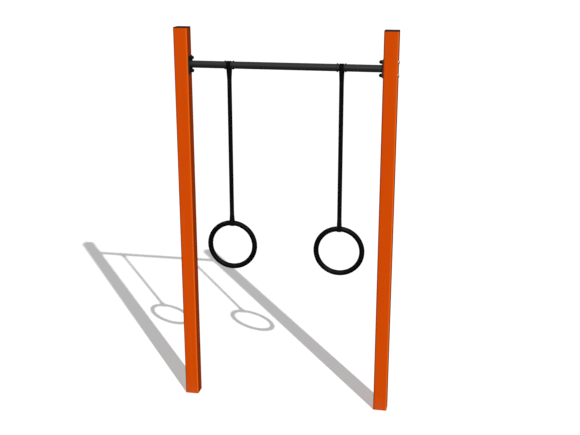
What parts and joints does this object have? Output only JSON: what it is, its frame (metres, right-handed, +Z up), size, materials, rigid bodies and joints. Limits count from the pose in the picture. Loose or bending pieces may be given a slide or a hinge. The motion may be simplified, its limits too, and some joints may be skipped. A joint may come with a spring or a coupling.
{
  "type": "gymnastics rings station",
  "caption": "Outdoor gymnastics rings: two rings on webbing straps from a round crossbar bolted between two square posts.",
  "frame": {"origin": "on the ground, midway between the two posts", "axes": "+X along the crossbar to the right post, +Z up, +Y from the front to the back"},
  "size_m": [1.5736, 0.1, 2.8],
  "materials": {
    "orange_powder_coat": "semi-gloss powder coat",
    "black_powder_coat": "fine-texture powder coat",
    "stainless_steel": "plain stainless",
    "black_plastic": "moulded, satin",
    "black_webbing": "woven polyester, matt",
    "black_ring_coating": "moulded, matt"
  },
  "bodies": {
    "frame": {"crossbar": "black_powder_coat", "left_post": "orange_powder_coat", "left_post_cap": "black_plastic", "left_end_plate": "black_powder_coat", "left_inner_stop_ring": "black_powder_coat", "left_outer_stop_ring": "black_powder_coat", "left_upper_bolt": "stainless_steel", "left_upper_washer": "stainless_steel", "left_upper_nut": "stainless_steel", "left_upper_bolt_cover": "black_plastic", "left_lower_bolt": "stainless_steel", "left_lower_washer": "stainless_steel", "left_lower_nut": "stainless_steel", "left_lower_bolt_cover": "black_plastic", "right_post": "orange_powder_coat", "right_post_cap": "black_plastic", "right_end_plate": "black_powder_coat", "right_inner_stop_ring": "black_powder_coat", "right_outer_stop_ring": "black_powder_coat", "right_upper_bolt": "stainless_steel", "right_upper_washer": "stainless_steel", "right_upper_nut": "stainless_steel", "right_upper_bolt_cover": "black_plastic", "right_lower_bolt": "stainless_steel", "right_lower_washer": "stainless_steel", "right_lower_nut": "stainless_steel", "right_lower_bolt_cover": "black_plastic"},
    "left_bar_eye": {"left_strap_bar_eye": "black_webbing"},
    "left_upper_strap": {"left_strap_upper": "black_webbing"},
    "left_lower_strap": {"left_strap_lower": "black_webbing"},
    "left_ring_eye": {"left_strap_ring_eye": "black_webbing"},
    "left_hoop": {"left_ring": "black_ring_coating"},
    "right_bar_eye": {"right_strap_bar_eye": "black_webbing"},
    "right_upper_strap": {"right_strap_upper": "black_webbing"},
    "right_lower_strap": {"right_strap_lower": "black_webbing"},
    "right_ring_eye": {"right_strap_ring_eye": "black_webbing"},
    "right_hoop": {"right_ring": "black_ring_coating"}
  },
  "joints": [
    {"name": "left_swing", "type": "hinge", "parent": "frame", "child": "left_bar_eye", "pos_m": [-0.3955, 0, 2.542], "axis": [1, 0, 0], "range_deg": [-90, 90]},
    {"name": "left_sway", "type": "hinge", "parent": "left_bar_eye", "child": "left_upper_strap", "pos_m": [-0.3955, 0, 2.4297], "axis": [0, 1, 0], "range_deg": [-9.5, 4.5]},
    {"name": "left_twist", "type": "hinge", "parent": "left_upper_strap", "child": "left_lower_strap", "pos_m": [-0.3955, 0, 1.95035], "axis": [0, 0, 1], "range_deg": [-180, 180]},
    {"name": "left_flex", "type": "hinge", "parent": "left_lower_strap", "child": "left_ring_eye", "pos_m": [-0.3955, 0, 1.471], "axis": [1, 0, 0], "range_deg": [-90, 90]},
    {"name": "left_ring_spin", "type": "hinge", "parent": "left_ring_eye", "child": "left_hoop", "pos_m": [-0.3955, 0, 1.224], "axis": [0, 1, 0], "continuous": true},
    {"name": "right_swing", "type": "hinge", "parent": "frame", "child": "right_bar_eye", "pos_m": [0.3955, 0, 2.542], "axis": [1, 0, 0], "range_deg": [-90, 90]},
    {"name": "right_sway", "type": "hinge", "parent": "right_bar_eye", "child": "right_upper_strap", "pos_m": [0.3955, 0, 2.4297], "axis": [0, 1, 0], "range_deg": [-4.5, 9.5]},
    {"name": "right_twist", "type": "hinge", "parent": "right_upper_strap", "child": "right_lower_strap", "pos_m": [0.3955, 0, 1.95035], "axis": [0, 0, 1], "range_deg": [-180, 180]},
    {"name": "right_flex", "type": "hinge", "parent": "right_lower_strap", "child": "right_ring_eye", "pos_m": [0.3955, 0, 1.471], "axis": [1, 0, 0], "range_deg": [-90, 90]},
    {"name": "right_ring_spin", "type": "hinge", "parent": "right_ring_eye", "child": "right_hoop", "pos_m": [0.3955, 0, 1.224], "axis": [0, 1, 0], "continuous": true}
  ]
}
